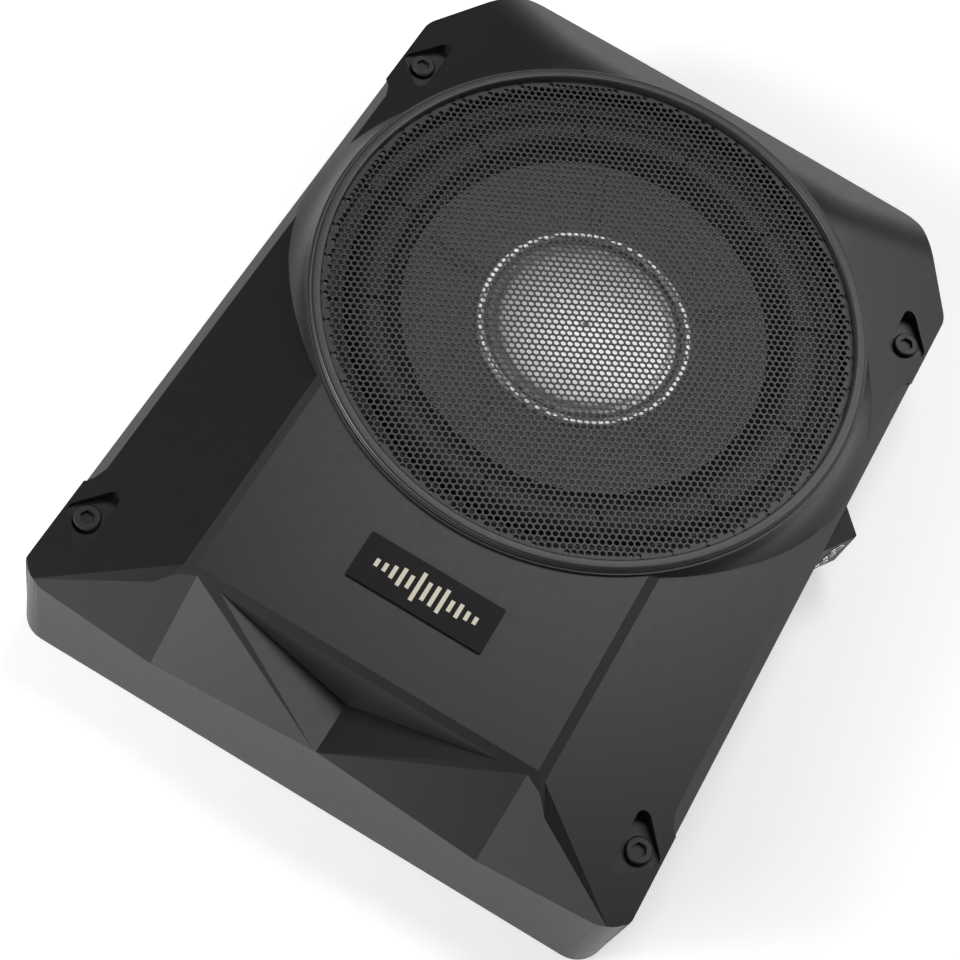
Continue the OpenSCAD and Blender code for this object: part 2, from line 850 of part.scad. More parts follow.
module toward_right(y, z) {
  translate([0, y, z]) rotate([0, 90, 0]) children();
}

module control_panel() {
  color("#1e1e20")
  difference() {
    union() {
      translate([panel_face_x - panel_t, panel_y0 + 0.2, panel_z0 + 0.2])
        cube([panel_t, panel_y1 - panel_y0 - 0.4, panel_z1 - panel_z0 - 0.4]);
      for (y = knob_ys) toward_right(y, control_z) ring(knob_r + 2.3, knob_r + 1.3, panel_face_x - eps, 0.8);
    }
    for (y = knob_ys) toward_right(y, control_z) translate([0, 0, 100]) cylinder(r = 3.3, h = 40);
    translate([100, switch_y - 4.6, control_z - 3]) cube([40, 9.2, 6]);
    toward_right(led_y, control_z + 6) translate([0, 0, 100]) cylinder(r = 1.6, h = 40);
    translate([100, remote_y - 6.6, control_z - 6.1]) cube([40, 13.2, 12.2]);
    for (y = line_ys) toward_right(y, control_z) translate([0, 0, 100]) cylinder(r = 4.7, h = 40);
    translate([100, high_y - 9.6, control_z - 6.6]) cube([40, 19.2, 13.2]);
    for (y = [panel_y0 + 4, panel_y1 - 4])
      toward_right(y, panel_z0 + 4) translate([0, 0, 100]) cylinder(r = 1.3, h = 40);
  }
}

module panel_screws() {
  color("#2c2c2e")
  for (y = [panel_y0 + 4, panel_y1 - 4])
    toward_right(y, panel_z0 + 4) {
      translate([0, 0, panel_face_x])
        difference() {
          cylinder(r = 2.4, h = 1.4);
          translate([-1.5, -0.3, 0.8]) cube([3, 0.6, 1]);
          translate([-0.3, -1.5, 0.8]) cube([0.6, 3, 1]);
        }
      translate([0, 0, panel_face_x - 4]) cylinder(r = 1.28, h = 4);
    }
}

// Knob with a fluted rim and a pointer groove, on a short shaft
module rotary_knob(y) {
  flutes = 18;
  color("#2f2f31")
  toward_right(y, control_z)
    difference() {
      union() {
        translate([0, 0, panel_face_x + 1]) cylinder(r = knob_r, h = 7);
        translate([0, 0, panel_face_x - 6]) cylinder(r = 3, h = 7.5);
      }
      for (i = [0 : flutes - 1])
        rotate([0, 0, i * 360 / flutes])
          translate([knob_r + 0.15, 0, panel_face_x + 2]) cylinder(r = 0.5, h = 7, $fn = 16);
      translate([-knob_r, -0.45, panel_face_x + 7.4]) cube([knob_r, 0.9, 1]);
    }
}

module gain_knob() rotary_knob(knob_ys[0]);
module lowpass_knob() rotary_knob(knob_ys[1]);
module bass_knob() rotary_knob(knob_ys[2]);

module pot_bodies() {
  color("#6a6d70")
  for (y = knob_ys)
    difference() {
      translate([panel_face_x - 14, y - 6, control_z - 6]) cube([9.5, 12, 12]);
      toward_right(y, control_z) translate([0, 0, panel_face_x - 8]) cylinder(r = 3.05, h = 20);
    }
}

module phase_switch_housing() {
  color("#55585b")
  difference() {
    translate([panel_face_x - 8, switch_y - 4.4, control_z - 2.8]) cube([8, 8.8, 5.6]);
    translate([panel_face_x - 4, switch_y - 3.8, control_z - 1.6]) cube([6, 7.6, 3.2]);
  }
}

module phase_switch_lever() {
  color("#dcdcdc")
  translate([panel_face_x - 3.8, switch_y - 3.6, control_z - 1.4]) {
    cube([2.8, 7.2 - switch_travel, 2.8]);
    translate([2.7, 0.9, 0.2]) cube([4, 2.2, 2.4]);
  }
}

module remote_port() {
  color("#c9c4b8")
  difference() {
    translate([panel_face_x - 12, remote_y - 6.5, control_z - 6]) cube([12.6, 13, 12]);
    translate([panel_face_x - 10, remote_y - 5, control_z - 4]) cube([20, 10, 7]);
    translate([panel_face_x - 10, remote_y - 3, control_z - 5.2]) cube([20, 6, 2]);
  }
}

module line_socket(y) {
  toward_right(y, control_z)
    difference() {
      union() {
        translate([0, 0, panel_face_x - 8]) cylinder(r = 4.6, h = 9);
        translate([0, 0, panel_face_x + 1]) cylinder(r = 4.15, h = 7);
      }
      translate([0, 0, panel_face_x - 7]) cylinder(r = 3.4, h = 20);
    }
}

module line_in_left() {
  color("#e8e8e8") line_socket(line_ys[1]);
}

module line_in_right() {
  color("#c22626") line_socket(line_ys[0]);
}

module line_in_insulators() {
  color("#d9d9d9")
  for (y = line_ys)
    toward_right(y, control_z)
      difference() {
        translate([0, 0, panel_face_x - 7]) cylinder(r = 3.38, h = 14);
        translate([0, 0, panel_face_x - 4]) cylinder(r = 1.62, h = 20);
      }
}

module high_level_socket() {
  color("#ece9e0")
  difference() {
    translate([panel_face_x - 12, high_y - 9.5, control_z - 6.5]) cube([13.5, 19, 13]);
    translate([panel_face_x - 10, high_y - 8, control_z - 5]) cube([20, 16, 10]);
    pin_bars(0.9);
  }
}

// Four square pins side by side, each w wide
module pin_bars(w) {
  for (i = [0 : 3])
    translate([panel_face_x - 15, high_y - 6 + i * 4 - w / 2, control_z - 3.4 - w / 2]) cube([12, w, w]);
}

module high_level_pins() {
  color("#d8c27a") pin_bars(0.8);
}

module status_led() {
  color("#3a7bd5")
  toward_right(led_y, control_z + 6) {
    translate([0, 0, panel_face_x - 5]) cylinder(r = 1.5, h = 5);
    translate([0, 0, panel_face_x]) sphere(r = 1.5);
  }
}

// ---- power terminals and fuse ----

// Places along the slanted front face, one for each terminal, from the top down
function terminal_z(i) = block_z1 - 4.6 - i * 7;
function terminal_run(i) = 7 + i * 1.1;

module terminal_places() {
  for (i = [0 : terminal_n - 1]) {
    at = face_start + face_dir * terminal_run(i);
    translate([at[0], at[1], terminal_z(i)])
      rotate([0, 0, face_normal_angle])
        rotate([0, 90, 0])
          children();
  }
}

// Cable entries in the rear face, each a little deeper than the one above it
module cable_entries() {
  for (i = [0 : terminal_n - 1])
    translate([edge_x + block_out - 4.4, entry_y - 0.6, terminal_z(i)])
      rotate([0, 0, rear_angle])
        rotate([0, 90, 0])
          translate([0, 0, -8 - 1.2 * i]) cylinder(r = 2.2, h = 20 + 1.2 * i);
}

module terminal_block() {
  color("#222224")
  difference() {
    union() {
      translate([0, 0, block_z0])
        linear_extrude(block_z1 - block_z0)
          polygon([[edge_x + 0.05, block_rear_y], [edge_x + 0.05, block_front_y], face_start, tip]);
      translate([edge_x - 6, block_front_y + 1.7, block_z0 + 1.7])
        cube([6.2, block_rear_y - block_front_y - 3.4, block_z1 - block_z0 - 3.4]);
    }
    terminal_places() translate([0, 0, -4]) cylinder(r = 2.95, h = 10);
    cable_entries();
  }
}

// Nickel-plated clamp cups that the screws sit in
module terminal_inserts() {
  color("#c9c9cb")
  terminal_places()
    difference() {
      translate([0, 0, -3.9]) cylinder(r = 2.93, h = 4.3);
      translate([0, 0, -3]) cylinder(r = 2.35, h = 5);
    }
}

module terminal_screws() {
  color("#dcdcde")
  terminal_places()
    difference() {
      translate([0, 0, -3]) cylinder(r = 2.2, h = 2.9);
      translate([-1.6, -0.35, -0.9]) cube([3.2, 0.7, 1.4]);
      translate([-0.35, -1.6, -0.9]) cube([0.7, 3.2, 1.4]);
    }
}

module fuse_holder() {
  color("#1b1b1d")
  difference() {
    translate([edge_x - 12, fuse_y - 7.8, fuse_z - 5.8]) cube([12.2, 15.6, 11.6]);
    translate([edge_x - 10, fuse_y - 6.2, fuse_z - 2.4]) cube([20, 12.4, 4.8]);
  }
}

// Blade fuse, pushed home with its grip just proud of the holder
module fuse() {
  color("#e0b020") {
    translate([edge_x - 5.2, fuse_y - 5.9, fuse_z - 2.1]) cube([6.4, 11.8, 4.2]);
    for (s = [-1, 1]) translate([edge_x - 9.9, fuse_y + s * 4 - 1, fuse_z - 0.35]) cube([5, 2, 0.7]);
  }
}

top_cover();
base_plate();
rubber_feet();
base_seal();
cover_screws();
base_screws();
grille_bezel();
grille();
badge_plate();
badge_emblem();
basket();
basket_gasket();
basket_screws();
surround();
spider();
cone();
cap_ring();
dust_cap();
coil_former();
voice_coil();
top_plate();
magnet();
yoke();
amplifier_board();
board_standoffs();
board_screws();
heat_bar();
power_transistors();
toroid();
capacitors();
speaker_wires();
control_panel();
panel_screws();
gain_knob();
lowpass_knob();
bass_knob();
pot_bodies();
phase_switch_housing();
phase_switch_lever();
remote_port();
line_in_left();
line_in_right();
line_in_insulators();
high_level_socket();
high_level_pins();
status_led();
terminal_block();
terminal_inserts();
terminal_screws();
fuse_holder();
fuse();
driver_terminal();
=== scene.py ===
"""Looks for a slim under-seat powered subwoofer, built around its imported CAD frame.

Lengths are written in millimetres, as in the part's source, and become metres when a mesh is made.
"""

import json
import math

import bmesh
import bpy
from mathutils import Matrix, Vector


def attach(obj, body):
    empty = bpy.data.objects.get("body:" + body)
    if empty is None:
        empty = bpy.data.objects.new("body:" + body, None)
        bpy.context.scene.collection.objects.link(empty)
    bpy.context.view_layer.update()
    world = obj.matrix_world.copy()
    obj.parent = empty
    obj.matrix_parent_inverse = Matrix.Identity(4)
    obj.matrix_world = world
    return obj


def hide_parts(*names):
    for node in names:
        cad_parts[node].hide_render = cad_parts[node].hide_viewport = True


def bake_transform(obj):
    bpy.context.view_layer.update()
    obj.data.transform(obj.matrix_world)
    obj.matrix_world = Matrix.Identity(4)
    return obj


MM = 0.001
ROOT = "cabinet"
CONE_BODY = "cone_assembly"

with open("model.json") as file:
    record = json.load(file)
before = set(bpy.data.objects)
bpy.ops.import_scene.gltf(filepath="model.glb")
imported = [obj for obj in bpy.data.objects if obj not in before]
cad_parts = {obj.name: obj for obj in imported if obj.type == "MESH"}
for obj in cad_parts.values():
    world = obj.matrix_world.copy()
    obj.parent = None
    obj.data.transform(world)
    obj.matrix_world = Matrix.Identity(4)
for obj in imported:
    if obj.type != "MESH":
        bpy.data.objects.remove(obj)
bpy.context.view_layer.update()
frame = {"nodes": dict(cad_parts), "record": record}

# ---------------------------------------------------------------- sizes, from the part's source
EDGE_X, END_Y = 125.0, 170.0
FLOOR_GAP = 3.0
DECK_Z, SIDE_Z, REAR_Z = 65.0, 46.0, 46.0
DECK_HALF = 70.0
BEVEL_W, BEVEL_DROP = 4.0, 2.6
WALL = 3.0
DRIVER_Y = 38.3
BEZEL_R = 110.4
GRILLE_R = 106.0
LEDGE_R, LEDGE_Z0, LEDGE_Z1 = 103.0, 58.5, 61.5
APEX_Y, NOSE_Y = 135.2, 166.4
SIDE_SLOPE = (DECK_Z - BEVEL_DROP - SIDE_Z) / (EDGE_X - DECK_HALF - BEVEL_W)
SCREW_X, SCREW_YS, SCREW_FLOOR = 115.6, (-134.7, 110.8), 44.8
RAIL_Y0, RAIL_Y1, RAIL_W, RAIL_DROP = -124.0, 97.0, 4.6, 4.9
PANEL_FACE_X, PANEL_Y0, PANEL_Y1, PANEL_Z0, PANEL_Z1 = 116.0, -126.0, 4.0, 9.0, 36.0


# ---------------------------------------------------------------- small tools
def new_object(name, mesh):
    obj = bpy.data.objects.new(name, mesh)
    bpy.context.collection.objects.link(obj)
    return obj


def piece(name, verts, faces, smooth=True):
    """A mesh object from millimetre vertices."""
    mesh = bpy.data.meshes.new(name)
    mesh.from_pydata([[c * MM for c in v] for v in verts], [], faces)
    mesh.validate()
    bm = bmesh.new()
    bm.from_mesh(mesh)
    bmesh.ops.recalc_face_normals(bm, faces=bm.faces)
    bm.to_mesh(mesh)
    bm.free()
    mesh.polygons.foreach_set("use_smooth", [smooth] * len(mesh.polygons))
    return new_object(name, mesh)


def apply_modifiers(obj):
    graph = bpy.context.evaluated_depsgraph_get()
    mesh = bpy.data.meshes.new_from_object(obj.evaluated_get(graph))
    obj.modifiers.clear()
    old = obj.data
    obj.data = mesh
    bpy.data.meshes.remove(old)


def boolean(target, tool, operation):
    mod = target.modifiers.new("boolean", "BOOLEAN")
    mod.operation = operation
    mod.solver = "EXACT"
    mod.object = tool
    bpy.context.view_layer.update()
    apply_modifiers(target)
    bpy.data.objects.remove(tool)
    return target


def soften(obj, width, segments=2, angle=30.0):
    """Rounds the sharp edges by width millimetres and keeps the flats flat."""
    weld = obj.modifiers.new("weld", "WELD")
    weld.merge_threshold = 2e-6
    bevel = obj.modifiers.new("bevel", "BEVEL")
    bevel.width = width * MM
    bevel.segments = segments
    bevel.limit_method = "ANGLE"
    bevel.angle_limit = math.radians(angle)
    bevel.miter_outer = "MITER_ARC"
    bevel.harden_normals = False
    normals = obj.modifiers.new("normals", "WEIGHTED_NORMAL")
    normals.weight = 90
    normals.keep_sharp = True
    return obj


def smooth_faces(obj):
    obj.data.polygons.foreach_set("use_smooth", [True] * len(obj.data.polygons))
    obj.data.update()


def lathe(name, profile, segments=192, start=0.0, sweep=360.0, centre=(0.0, DRIVER_Y)):
    """Turns a closed (radius, height) profile about a vertical axis."""
    closed = sweep >= 360.0
    steps = segments if closed else segments + 1
    n = len(profile)
    verts = []
    for i in range(steps):
        a = math.radians(start + sweep * i / segments)
        verts += [(centre[0] + r * math.cos(a), centre[1] + r * math.sin(a), z) for r, z in profile]
    faces = []
    for i in range(segments):
        p, q = i * n, ((i + 1) % steps) * n
        faces += [(p + k, q + k, q + (k + 1) % n, p + (k + 1) % n) for k in range(n)]
    if not closed:
        faces.append(tuple(range(n)))
        faces.append(tuple(reversed(range((steps - 1) * n, steps * n))))
    obj = piece(name, verts, faces)
    if not closed:
        for end in obj.data.polygons[-2:]:
            end.use_smooth = False
    return obj


def prism(name, outline, z0, z1, shift=None):
    """An upright solid on an outline; shift moves each top point."""
    n = len(outline)
    top = [shift(p) if shift else p for p in outline]
    verts = [(x, y, z0) for x, y in outline] + [(x, y, z1) for x, y in top]
    faces = [tuple(range(n)), tuple(range(n, 2 * n))]
    faces += [(i, (i + 1) % n, n + (i + 1) % n, n + i) for i in range(n)]
    return piece(name, verts, faces)


def box(name, x0, x1, y0, y1, z0, z1):
    return prism(name, [(x0, y0), (x1, y0), (x1, y1), (x0, y1)], z0, z1)


def disc(x, y, r, n=32):
    return [(x + r * math.cos(2 * math.pi * i / n), y + r * math.sin(2 * math.pi * i / n)) for i in range(n)]


def rounded(points, radii, steps=8):
    """An outline with its corners rounded."""
    out = []
    for i, (p, r) in enumerate(zip(points, radii)):
        p = Vector(p)
        a = (Vector(points[i - 1]) - p).normalized()
        b = (Vector(points[(i + 1) % len(points)]) - p).normalized()
        half = a.angle(b) / 2
        c = p + (a + b).normalized() * r / math.sin(half)
        s = p + a * r / math.tan(half) - c
        e = p + b * r / math.tan(half) - c
        t0, t1 = math.atan2(s.y, s.x), math.atan2(e.y, e.x)
        turn = (t1 - t0 + math.pi) % (2 * math.pi) - math.pi
        out += [(c.x + r * math.cos(t0 + turn * k / steps), c.y + r * math.sin(t0 + turn * k / steps))
                for k in range(steps + 1)]
    return out


def join(objects):
    """One object from several, keeping their separate shells."""
    bm = bmesh.new()
    for obj in objects:
        bm.from_mesh(obj.data)
        bpy.data.objects.remove(obj)
    mesh = bpy.data.meshes.new("joined")
    bm.to_mesh(mesh)
    bm.free()
    return new_object("joined", mesh)


# ---------------------------------------------------------------- form of the cover
def plane(a, b, c):
    """(gx, gy, z0) of the plane through three points, so that z = gx x + gy y + z0."""
    n = (Vector(b) - Vector(a)).cross(Vector(c) - Vector(a))
    gx, gy = -n.x / n.z, -n.y / n.z
    return gx, gy, a[2] - gx * a[0] - gy * a[1]


def at(p, x, y):
    return p[0] * x + p[1] * y + p[2]


def mirrored(p):
    return (-p[0], p[1], p[2])


def smooth_min(a, b, k):
    h = min(1.0, max(0.0, 0.5 + 0.5 * (b - a) / k))
    return b + (a - b) * h - k * h * (1 - h)


# Corners of the nose on the right-hand side
P = (DECK_HALF, -APEX_Y, DECK_Z)
T = (67.5, -NOSE_Y, 40.1)
CREST = (0.0, -NOSE_Y, 49.3)
PIT = (0.0, -144.8, 47.4)
RIM = (58.4, -138.5, DECK_Z - 1.6)

DECK = (0.0, 0.0, DECK_Z)
BEVEL = (-BEVEL_DROP / BEVEL_W, 0.0, DECK_Z + DECK_HALF * BEVEL_DROP / BEVEL_W)
SIDE = (-SIDE_SLOPE, 0.0, SIDE_Z + EDGE_X * SIDE_SLOPE)
CHAMFER = plane((70.3, -134.1, 63.6), (67.5, -138.0, 62.5), (119.3, -166.1, 47.8))
NOSE_RIM = plane(P, mirrored(P), CREST)
APEX = (67.5, -138.0, at(NOSE_RIM, 67.5, -138.0))
FACET_1 = plane(APEX, (113.1, -165.7, 47.2), T)
FACET_2 = plane(APEX, T, CREST)
PIT_RIGHT = plane(RIM, CREST, PIT)
PIT_LEFT = mirrored(PIT_RIGHT)
PIT_BACK = plane(RIM, mirrored(RIM), PIT)
PLANES = [DECK, NOSE_RIM, PIT_BACK, BEVEL, SIDE, CHAMFER, FACET_1, FACET_2, PIT_RIGHT, PIT_LEFT]
MIRROR_PLANES = 3                     # the first three run straight across the middle


def front_height(x, y):
    x = abs(x)
    flank = max(at(BEVEL, x, y), min(at(SIDE, x, y), at(CHAMFER, x, y)))
    nose = min(at(NOSE_RIM, x, y), max(at(FACET_1, x, y), at(FACET_2, x, y)))
    pit = max(at(PIT_RIGHT, x, y), at(PIT_LEFT, x, y), at(PIT_BACK, x, y))
    return min(DECK_Z, flank, nose, pit)


def front_plane(x, y):
    """Which plane the surface follows here, so that faces on one plane can be merged."""
    z = front_height(x, y)
    gaps = [abs(at(p, abs(x), y) - z) for p in PLANES]
    i = gaps.index(min(gaps))
    return i if i < MIRROR_PLANES else (i, x > 0)


REAR_START, REAR_FULL = 60.0, 112.0


def rear_height(x, y):
    """The rear half: the crisp deck edge fades into soft hips that run down to the rear edge."""
    x = abs(x)
    crisp = min(DECK_Z, max(at(BEVEL, x, y), at(SIDE, x, y)))
    soft = smooth_min(DECK_Z, at(SIDE, x, y), 3.0)
    t = min(1.0, max(0.0, (y - REAR_START) / (REAR_FULL - REAR_START)))
    t = t * t * (3 - 2 * t)
    run = DECK_Z + 1.2 - REAR_Z
    ramp = REAR_Z + (END_Y - y) * run / 31.0
    return smooth_min(crisp + (soft - crisp) * t, ramp, 0.01 + 7.0 * t)


def top_height(x, y):
    return rear_height(x, y) if y > REAR_START - 1e-6 else front_height(x, y)


def cut_faces(bm, point, normal, wanted):
    faces = [f for f in bm.faces if wanted(f.calc_center_median())]
    geom = list({e for f in faces for e in f.edges} | {v for f in faces for v in f.verts}) + faces
    bmesh.ops.bisect_plane(bm, geom=geom, plane_co=point, plane_no=normal, dist=1e-5)


def top_solid(name, drop):
    """The cover's upper surface, lowered by drop, as a deep closed block."""
    bm = bmesh.new()
    half_x, half_y = EDGE_X + 8, END_Y + 8
    corners = [bm.verts.new(c) for c in
               ((-half_x, -half_y, 0), (half_x, -half_y, 0), (half_x, half_y, 0), (-half_x, half_y, 0))]
    bm.faces.new(corners)
    nose_start = -100.0
    cut_faces(bm, (0, REAR_START, 0), (0, 1, 0), lambda c: True)
    cut_faces(bm, (0, nose_start, 0), (0, 1, 0), lambda c: True)
    cut_faces(bm, (0, 0, 0), (1, 0, 0), lambda c: c.y < nose_start)
    for x in (DECK_HALF, DECK_HALF + BEVEL_W):
        for s in (1, -1):
            cut_faces(bm, (s * x, 0, 0), (1, 0, 0), lambda c: c.y > nose_start)
    for i, a in enumerate(PLANES):
        for b in PLANES[i + 1:]:
            nx, ny, c = a[0] - b[0], a[1] - b[1], a[2] - b[2]
            size = nx * nx + ny * ny
            for s in (1, -1):
                crossing = (-s * nx * c / size, -ny * c / size, 0)
                cut_faces(bm, crossing, (s * nx, ny, 0), lambda p: p.y < nose_start)
    step = 2.5
    for i in range(1, int((half_y - REAR_START) / step)):
        cut_faces(bm, (0, REAR_START + i * step, 0), (0, 1, 0), lambda c: c.y > REAR_START)
    for i in range(int(-half_x / step) + 1, int(half_x / step)):
        cut_faces(bm, (i * step, 0, 0), (1, 0, 0), lambda c: c.y > REAR_START)
    label = {}
    for f in bm.faces:
        middle = f.calc_center_median()
        if middle.y < REAR_START:
            label[f] = front_plane(middle.x, middle.y)
    inside = [e for e in bm.edges if len(e.link_faces) == 2 and all(f in label for f in e.link_faces)]
    same = [e for e in inside if label[e.link_faces[0]] == label[e.link_faces[1]]]
    bmesh.ops.dissolve_edges(bm, edges=same, use_verts=True, use_face_split=False)
    for v in bm.verts:
        v.co.z = top_height(v.co.x, v.co.y) - drop
    extruded = bmesh.ops.extrude_face_region(bm, geom=bm.faces[:], use_keep_orig=True)
    for v in (g for g in extruded["geom"] if isinstance(g, bmesh.types.BMVert)):
        v.co.z = -20.0
    bmesh.ops.recalc_face_normals(bm, faces=bm.faces)
    bmesh.ops.scale(bm, vec=(MM, MM, MM), verts=bm.verts)
    mesh = bpy.data.meshes.new(name)
    bm.to_mesh(mesh)
    bm.free()
    return new_object(name, mesh)


def outline(inset, rear_bulge=1.2):
    x, f, b = EDGE_X - inset, -END_Y + inset, END_Y - inset
    cut_x, cut_y, slant = 95.0, 131.5, inset * 0.41
    pts = rounded([(-x, f), (x, f), (x, cut_y - slant), (cut_x - slant, b - rear_bulge),
                   (-cut_x + slant, b - rear_bulge), (-x, cut_y - slant)],
                  [12 - inset, 12 - inset, 9 - inset, 14 - inset, 14 - inset, 9 - inset])
    inner = cut_x - 16.0
    out = []
    for i, (px, py) in enumerate(pts):
        out.append((px, py))
        nx, ny = pts[(i + 1) % len(pts)]
        if abs(py - ny) < 1e-6 and py > 0 and px > inner > -inner > nx:
            out += [(inner * k / 6, b - rear_bulge * (k / 6) ** 2 * 0.9) for k in range(5, -6, -1)]
    return out


def lean(z1, z0):
    """The nose wall leans back as it rises."""
    back = 3.6 / 43.0 * (z1 - z0)

    def move(p):
        t = min(1.0, max(0.0, (-p[1] - 158.0) / 6.0))
        return p[0], p[1] + back * t

    return move


def cover_form(name, inset, drop, z0):
    form = top_solid(name, drop)
    top = 90.0
    return boolean(form, prism("tool", outline(inset), z0, top, lean(top, FLOOR_GAP)), "INTERSECT")


def pocket_outline(grow):
    return [(-7.1 - grow, -17 - 1.6 * grow), (-7.1 - grow, 17 + 1.6 * grow), (9.5 + 1.2 * grow, 0)]


def pockets(name, grow, z0, z1, r):
    tools = []
    for side in (-1, 1):
        for y in SCREW_YS:
            pts = rounded(pocket_outline(grow), [r, r, r], 8)
            tools.append(prism(name, [(side * (SCREW_X + px), y + py) for px, py in pts], z0, z1))
    return join(tools)


def rails():
    fall = math.atan2(RAIL_DROP, RAIL_W)
    run, out, up = 9.0, 14.0, 12.0
    plan = [(0, RAIL_Y0 + run), (RAIL_W * 0.35, RAIL_Y0 + run * 0.45), (RAIL_W * 0.75, RAIL_Y0 + run * 0.15),
            (RAIL_W * 1.4, RAIL_Y0), (out, RAIL_Y0), (out, RAIL_Y1), (RAIL_W * 1.4, RAIL_Y1),
            (RAIL_W * 0.75, RAIL_Y1 - run * 0.15), (RAIL_W * 0.35, RAIL_Y1 - run * 0.45), (0, RAIL_Y1 - run)]
    tools = []
    for side in (-1, 1):
        lower, upper = [], []
        for a, y in plan:
            x = EDGE_X - RAIL_W + a * math.cos(fall)
            z = SIDE_Z + RAIL_W * SIDE_SLOPE - a * math.sin(fall)
            lower.append((side * x, y, z))
            upper.append((side * (x + up * math.sin(fall)), y, z + up * math.cos(fall)))
        n = len(plan)
        faces = [tuple(range(n)), tuple(range(n, 2 * n))]
        faces += [(i, (i + 1) % n, n + (i + 1) % n, n + i) for i in range(n)]
        tools.append(piece("rail", lower + upper, faces))
    return join(tools)


SKIRT = [(111.35, 66.2), (111.75, 64.6), (112.2, 61.8), (113.0, 58.9), (114.2, 56.2), (115.8, 53.8),
         (117.7, 51.6), (119.8, 49.6), (122.0, 47.6), (123.4, 46.2)]


def build_cover():
    cover = cover_form("cover", 0.0, 0.0, FLOOR_GAP)
    boolean(cover, rails(), "DIFFERENCE")
    boolean(cover, pockets("tool", 0.0, SCREW_FLOOR, 90.0, 3.0), "DIFFERENCE")
    skirt = lathe("tool", [(108.0, 66.2)] + SKIRT + [(122.0, 42.0), (108.0, 42.0)], 256)
    boolean(cover, skirt, "UNION")
    inner = cover_form("inner", WALL, WALL + 0.25, -8.0)
    boolean(inner, pockets("tool", 2.6, SCREW_FLOOR - WALL, 90.0, 4.0), "DIFFERENCE")
    frame_box = box("tool", PANEL_FACE_X - 5, EDGE_X + 20, PANEL_Y0 - WALL, PANEL_Y1 + WALL,
                    PANEL_Z0 - WALL, PANEL_Z1 + WALL)
    boolean(inner, frame_box, "DIFFERENCE")
    wall_ring = lathe("tool", [(101.0, 80.0), (128.0, 80.0), (128.0, 40.0), (114.0, 40.0), (111.6, 45.0),
                               (101.0, 45.0)], 128)
    boolean(inner, wall_ring, "DIFFERENCE")
    boolean(cover, inner, "DIFFERENCE")
    opening = prism("tool", disc(0, DRIVER_Y, BEZEL_R + 0.2, 256), LEDGE_Z1, 95.0)
    below = prism("tool", disc(0, DRIVER_Y, 111.4, 256), -10.0, LEDGE_Z0)
    through = prism("tool", disc(0, DRIVER_Y, LEDGE_R, 256), LEDGE_Z0 - 1, LEDGE_Z1 + 1)
    for tool in (opening, below, through):
        boolean(cover, tool, "DIFFERENCE")
    recess = box("tool", PANEL_FACE_X - 2, EDGE_X + 9, PANEL_Y0, PANEL_Y1, PANEL_Z0, PANEL_Z1)
    window = box("tool", PANEL_FACE_X - 12, PANEL_FACE_X - 1, PANEL_Y0 + 3, PANEL_Y1 - 0.6,
                 PANEL_Z0 + 6, PANEL_Z1 - 5)
    terminals = box("tool", EDGE_X - 8, EDGE_X + 5, 13.5, 35.8, 12.5, 34.5)
    fuse = box("tool", EDGE_X - 8, EDGE_X + 5, 46, 62, 16, 28)
    for tool in (recess, window, terminals, fuse):
        boolean(cover, tool, "DIFFERENCE")
    holes = [prism("tool", disc(s * SCREW_X, y, 2.3), 30.0, 60.0) for s in (-1, 1) for y in SCREW_YS]
    boolean(cover, join(holes), "DIFFERENCE")
    cover.name = "moulded_cover"
    smooth_faces(cover)
    soften(cover, 0.7, 3, 11.0)
    return cover


# ---------------------------------------------------------------- grille, bezel and driver
def build_grille():
    """Two halves of a perforated disc: a hexagonal net of cells, each with one round hole."""
    pitch, hole_r, sides = 2.7, 1.08, 12
    z1, z0 = 65.4, 64.75
    limit = GRILLE_R - 0.1
    cell_r = pitch / math.sqrt(3)
    halves = []
    for side in (0, 1):
        verts, faces, index = [], [], {}

        def point(x, y, level):
            r = math.hypot(x, y)
            if r > limit:
                x, y = x * limit / r, y * limit / r
            key = (round(x, 3), round(y, 3), level)
            if key not in index:
                index[key] = len(verts)
                verts.append((x, y + DRIVER_Y, z1 if level else z0))
            return index[key]

        columns = int(limit / (pitch * math.sqrt(3) / 2)) + 1
        rows = int(limit / pitch) + 2
        for i in range(-columns, columns + 1):
            cx = i * pitch * math.sqrt(3) / 2
            if (cx < -0.01) != (side == 0):
                continue
            for j in range(-rows, rows + 1):
                cy = (j + (i % 2) / 2) * pitch
                reach = math.hypot(cx, cy)
                if reach > limit + cell_r * 0.2:
                    continue
                turns = [math.radians(60 * k) for k in range(6)]
                corner = [(cx + cell_r * math.cos(t), cy + cell_r * math.sin(t)) for t in turns]
                rim = []
                for k in range(6):
                    a, b = corner[k], corner[(k + 1) % 6]
                    rim += [a, ((a[0] + b[0]) / 2, (a[1] + b[1]) / 2)]
                if reach > limit - hole_r * 1.7:
                    faces.append(tuple(point(*c, 1) for c in corner))
                    faces.append(tuple(reversed([point(*c, 0) for c in corner])))
                    continue
                ring = disc(cx, cy, hole_r, sides)
                for k in range(6):
                    a, b, m = 2 * k, (2 * k + 2) % sides, 2 * k + 1
                    ca, cb = corner[k], corner[(k + 1) % 6]
                    for level in (1, 0):
                        quad = [point(*ca, level), point(*cb, level), point(*ring[b], level),
                                point(*ring[m], level), point(*ring[a], level)]
                        faces.append(tuple(quad) if level else tuple(reversed(quad)))
                for k in range(sides):
                    a, b = ring[k], ring[(k + 1) % sides]
                    faces.append((point(*a, 1), point(*b, 1), point(*b, 0), point(*a, 0)))
        faces = [f for f in (tuple(dict.fromkeys(f)) for f in faces) if len(f) > 2]
        mesh = bpy.data.meshes.new("grille")
        mesh.from_pydata([[c * MM for c in v] for v in verts], [], faces)
        mesh.validate()
        halves.append(new_object("grille_%s" % ("left", "right")[side], mesh))
    return halves


